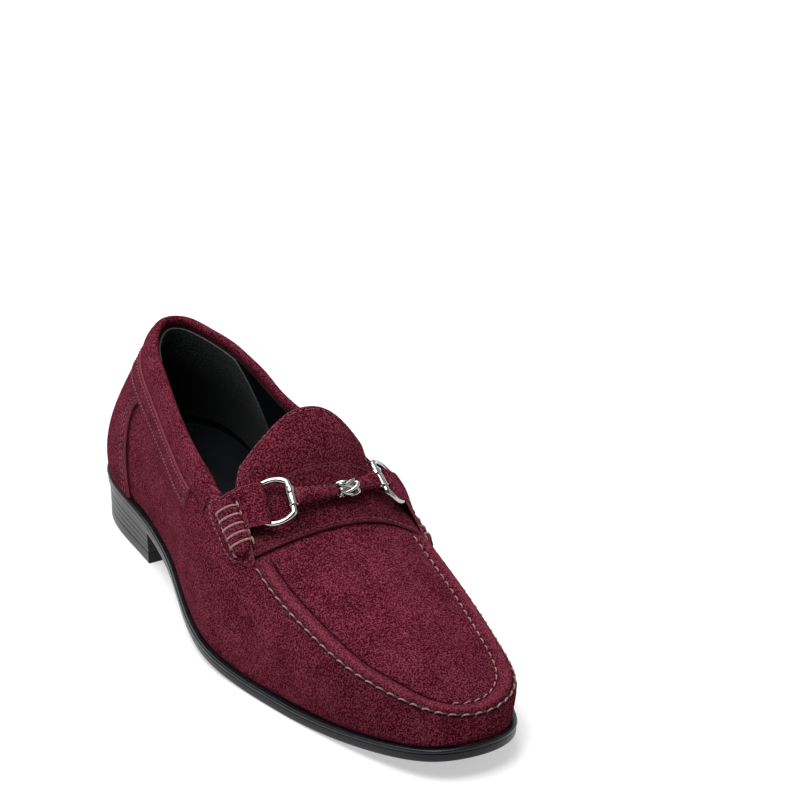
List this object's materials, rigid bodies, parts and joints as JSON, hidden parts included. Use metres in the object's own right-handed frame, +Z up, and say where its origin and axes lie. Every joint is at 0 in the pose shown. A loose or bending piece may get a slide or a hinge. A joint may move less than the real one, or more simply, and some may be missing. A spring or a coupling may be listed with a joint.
{
  "type": "snaffle bit loafer",
  "caption": "Right-foot moccasin loafer in suede: bit across the instep on two side tabs, padded collar, tongue, stitched apron, welted sole and stacked heel.",
  "frame": {"origin": "on the ground under the middle of the shoe's length and width", "axes": "+Z up, +Y towards the heel, so the toe points along -Y; +X towards the inner (medial) side of this right shoe"},
  "size_m": [0.102, 0.3055, 0.0985],
  "materials": {
    "burgundy_suede": "napped suede, soft nap with lighter tips, no gloss",
    "black_lining_leather": "smooth lining leather, low sheen",
    "charcoal_suede": "fine napped suede, matt",
    "black_sole": "black, edge polished to a satin gloss",
    "heel_stack": "stacked lifts, inked black, edge burnished",
    "gunmetal": "polished dark nickel",
    "steel": "plain steel",
    "waxed_thread": "waxed twisted thread, pale red",
    "fibreboard": "pressed fibre, matt",
    "foam": "open cell foam, matt",
    "cork": "ground cork filler, matt"
  },
  "bodies": {
    "root": {"apron": "burgundy_suede", "apron_lining": "black_lining_leather", "collar_band": "burgundy_suede", "collar_foam": "foam", "collar_strip": "burgundy_suede", "forepart_filler": "cork", "heel_block": "heel_stack", "heel_counter": "fibreboard", "heel_cushion": "foam", "heel_foxing": "burgundy_suede", "heel_grip": "charcoal_suede", "heel_nail_1": "steel", "heel_nail_2": "steel", "heel_nail_3": "steel", "heel_nail_4": "steel", "heel_nail_5": "steel", "heel_seat_filler": "cork", "heel_top_lift": "black_sole", "insole_board": "fibreboard", "lateral_beef_roll": "burgundy_suede", "lateral_beef_roll_thread": "waxed_thread", "lateral_tab": "burgundy_suede", "medial_beef_roll": "burgundy_suede", "medial_beef_roll_thread": "waxed_thread", "medial_tab": "burgundy_suede", "moc_seam_thread": "waxed_thread", "outsole": "black_sole", "quarter_lining": "black_lining_leather", "saddle_strap": "burgundy_suede", "shank": "steel", "sock_liner": "black_lining_leather", "toe_puff": "fibreboard", "vamp": "burgundy_suede", "vamp_lining": "black_lining_leather", "welt": "black_sole"},
    "bit": {"lateral_rod": "steel", "lateral_roll": "burgundy_suede", "medial_rod": "steel", "medial_roll": "burgundy_suede"},
    "lateral_ring": {"lateral_ring": "gunmetal"},
    "medial_ring": {"medial_ring": "gunmetal"},
    "centre_knot": {"centre_knot": "gunmetal"},
    "tongue": {"tongue": "burgundy_suede", "tongue_lining": "black_lining_leather"}
  },
  "joints": [
    {"name": "bit_swing", "type": "hinge", "parent": "root", "child": "bit", "pos_m": [0.00543, -0.01559, 0.06498], "axis": [0.9907, 0.0731, -0.1145], "range_deg": [-2, 3]},
    {"name": "lateral_ring_rock", "type": "hinge", "parent": "bit", "child": "lateral_ring", "pos_m": [-0.01461, -0.02483, 0.07415], "axis": [-0.157, -0.8191, -0.5518], "range_deg": [-1.2, 1.2]},
    {"name": "medial_ring_rock", "type": "hinge", "parent": "bit", "child": "medial_ring", "pos_m": [0.02884, -0.02025, 0.0714], "axis": [0.0631, -0.8564, -0.5124], "range_deg": [-1.2, 1.2]},
    {"name": "knot_turn", "type": "hinge", "parent": "bit", "child": "centre_knot", "pos_m": [0.01089, -0.02579, 0.07305], "axis": [0.9925, 0.1047, -0.0627], "range_deg": [-15, 15]},
    {"name": "tongue_flex", "type": "hinge", "parent": "root", "child": "tongue", "pos_m": [0.00639, -0.01015, 0.0768], "axis": [1, 0, 0], "range_deg": [-4, 20], "stiffness_Nm_per_rad": 0.15}
  ]
}
